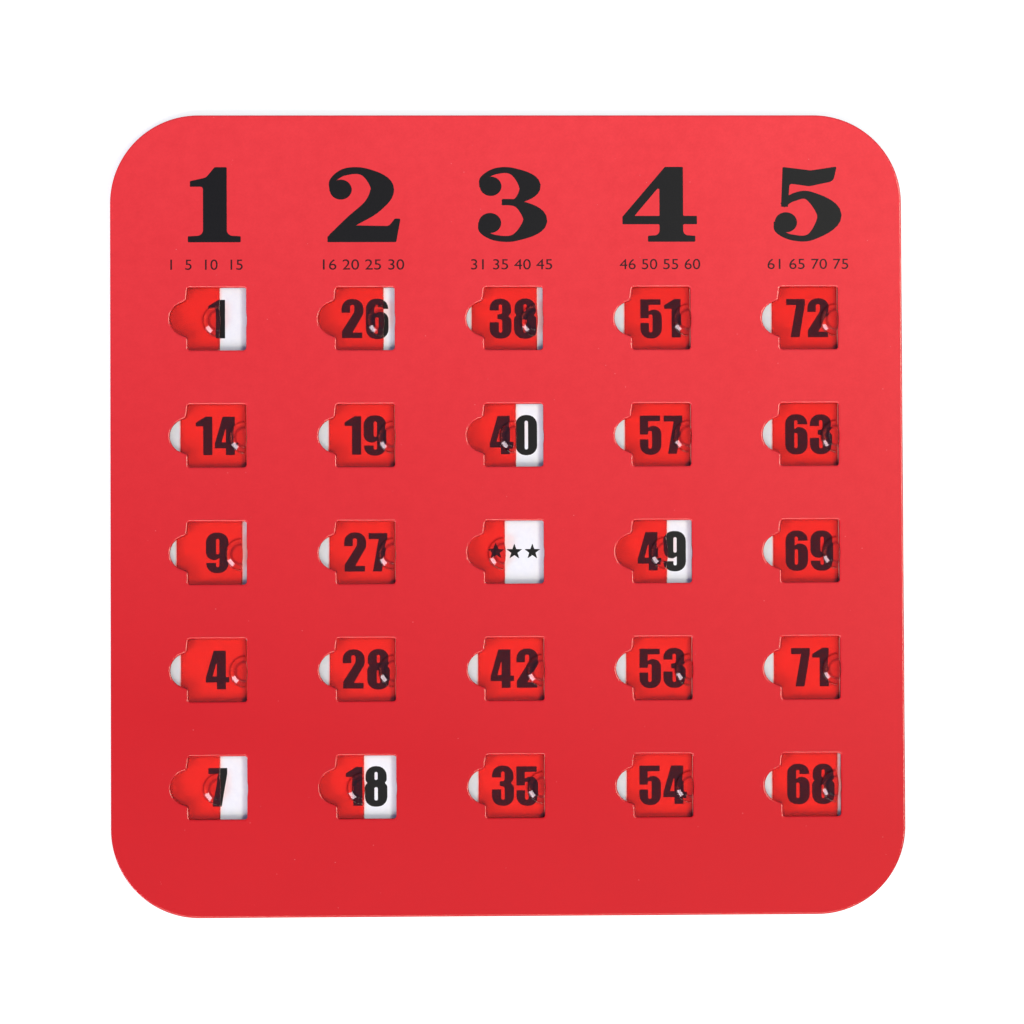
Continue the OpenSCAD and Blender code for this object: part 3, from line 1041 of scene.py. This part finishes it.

# %% [markdown]
# ## Red see-through plastic
# The shutters are clear red plastic with a trace of haze: most light passes through and is
# coloured on the way, and a small share is scattered, which is why black ink looks maroon
# behind it. Near an upright wall the plastic is painted darker: painted shade that draws the
# dark rims the walls show, where the way through the plastic is also longest. Lamps have to
# reach the paper below, so for shadow rays the plastic is a plain red filter. Sliding has
# drawn hair-fine scratches along the plate.
# %% Plastic
plastic = Finish("red_plastic")
scratches = plastic.noise(0.25, 3.0, stretch=(0.06, 1, 1))
ripple = plastic.noise(7, 1.0)
wall = plastic.value("near_wall")
# Painted shade: the colour darkens towards a deep red where the painted wall shade value is high.
tint = plastic.mix(wall, colour(219, 82, 62), colour(88, 2, 4))
clear_red = plastic.surface(
    Base_Color=tint, Roughness=0.05 + 0.05 * scratches, IOR=1.49, Transmission_Weight=0.98,
    Normal=plastic.bump(ripple + 0.06 * scratches, 0.02), Coat_Weight=0.3, Coat_Roughness=0.06,
)
filtered = plastic.add("ShaderNodeBsdfTransparent", {}, {"Color": colour(250, 174, 148)})["BSDF"]
is_shadow = plastic.add("ShaderNodeLightPath", {}, {})["Is Shadow Ray"]
either = plastic.add("ShaderNodeMixShader", {}, {0: is_shadow, 1: clear_red, 2: filtered})
red_plastic = plastic.done(either["Shader"])

# %% [markdown]
# ## A finish for every piece
# The reshaped pieces take their new finishes, and so do the CAD nodes that stay in view:
# their shapes are right as they are, and only their colour was missing.
# %% Give every piece its finish
def finish_with(thing, material):
    thing.data.materials.clear()
    thing.data.materials.append(material)


finish_with(printed_face, printed_film)
finish_with(heading_ink, black_ink)
finish_with(label_ink, label_ink_finish)
finish_with(window_numbers, black_ink)
for thing in shutters:
    finish_with(thing, red_plastic)
for node, material in [
    ("back_sheet", lining_paper), ("back_board", chipboard), ("number_sheet", white_paper),
    ("channel_board", chipboard), ("face_board", dyed_board),
]:
    finish_with(frame["nodes"][node], material)
    print(node, "is finished in", material.name)

# %% [markdown]
# ## The table
# The card lies on a plain white table. The table's own colour does the white: it glows a
# little for the camera and for reflections only, so it adds no light to the card, and the
# card's shadow still shows on it.
# %% Table
TABLE_REACH, TABLE_Z = 3.0, -2e-5
TABLE_GREY, TABLE_GLOW = 0.6, 0.62

quarters = [(-1, -1), (1, -1), (1, 1), (-1, 1)]
floor_mesh = bpy.data.meshes.new("table_top")
floor_mesh.from_pydata(
    [(x * TABLE_REACH, y * TABLE_REACH, TABLE_Z) for x, y in quarters], [], [(0, 1, 2, 3)]
)
table_top = bpy.data.objects.new("table_top", floor_mesh)
bpy.context.scene.collection.objects.link(table_top)


def seen_directly(finish):
    """1 for rays from the camera and for what shows in gloss or through plastic."""
    path = finish.add("ShaderNodeLightPath", {}, {})
    return (path["Is Camera Ray"] + path["Is Glossy Ray"] + path["Is Transmission Ray"]).clamped()


table = Finish("white_table")
grey = (TABLE_GREY, TABLE_GREY, TABLE_GREY, 1)
glow_inputs = {"Color": (1, 1, 1, 1), "Strength": TABLE_GLOW * seen_directly(table)}
diffuse = table.add("ShaderNodeBsdfDiffuse", {}, {"Color": grey})["BSDF"]
glow = table.add("ShaderNodeEmission", {}, glow_inputs)["Emission"]
both = table.add("ShaderNodeAddShader", {}, {0: diffuse, 1: glow})
finish_with(table_top, table.done(both["Shader"]))

# %% [markdown]
# ## The room
# To the camera the room is plain white. To everything else it is dim and bluish, which
# fills the windows' shadows with a cool light and leaves the shaping to the lamps.
# %% Room
DIM_LEVEL, DIM_TINT = 0.38, (0.52, 0.6, 1.0, 1.0)

room = Finish("white_room", room=True)
to_camera = room.add("ShaderNodeLightPath", {}, {})["Is Camera Ray"]
dim = room.add("ShaderNodeBackground", {}, {"Strength": DIM_LEVEL, "Color": DIM_TINT})
white = room.add("ShaderNodeBackground", {}, {"Strength": 1.0, "Color": (1, 1, 1, 1)})
inputs = {0: to_camera, 1: dim["Background"], 2: white["Background"]}
bpy.context.scene.world = room.done(room.add("ShaderNodeMixShader", {}, inputs)["Shader"])

# %% [markdown]
# ## The lamps
# Three soft boxes light the card. One stands high on the near side and gives the windows
# a soft shadow along their near edges, and one on the right does the same there. The low
# one on the left draws the glint on the shoulder of every lug.
# %% Soft boxes
def soft_box(name, place, size, level, tint=(0.98, 1.0, 0.80)):
    """An oblong lamp that lights the card's middle at the given level, where 1 shows a
    white card as white: power = level * pi squared * distance squared / cosine."""
    place = Vector(place)
    toward = -place
    distance = toward.length
    lamp = bpy.data.lights.new(name, "AREA")
    lamp.shape = "RECTANGLE"
    lamp.size, lamp.size_y = size
    lamp.color = tint
    lamp.energy = level * np.pi**2 * distance**2 / (place.z / distance)
    holder = bpy.data.objects.new(name, lamp)
    bpy.context.scene.collection.objects.link(holder)
    turn = toward.to_track_quat("-Z", "Y").to_matrix().to_4x4()
    holder.matrix_world = Matrix.Translation(place) @ turn
    print(name, "power", round(lamp.energy, 2))


soft_box("near_box", (0.04, -1.12, 2.20), (1.6, 0.60), 0.27)
soft_box("right_box", (0.64, 0.06, 1.10), (0.6, 0.38), 0.37)
soft_box("low_left_box", (-1.60, -1.18, 1.22), (1.08, 0.70), 0.25, (1.0, 0.87, 0.95))

# %% [markdown]
# ## Close the scene
# The colours are shown as they are, without a film look.
# %% Finish
bpy.context.scene.view_settings.view_transform = "Standard"
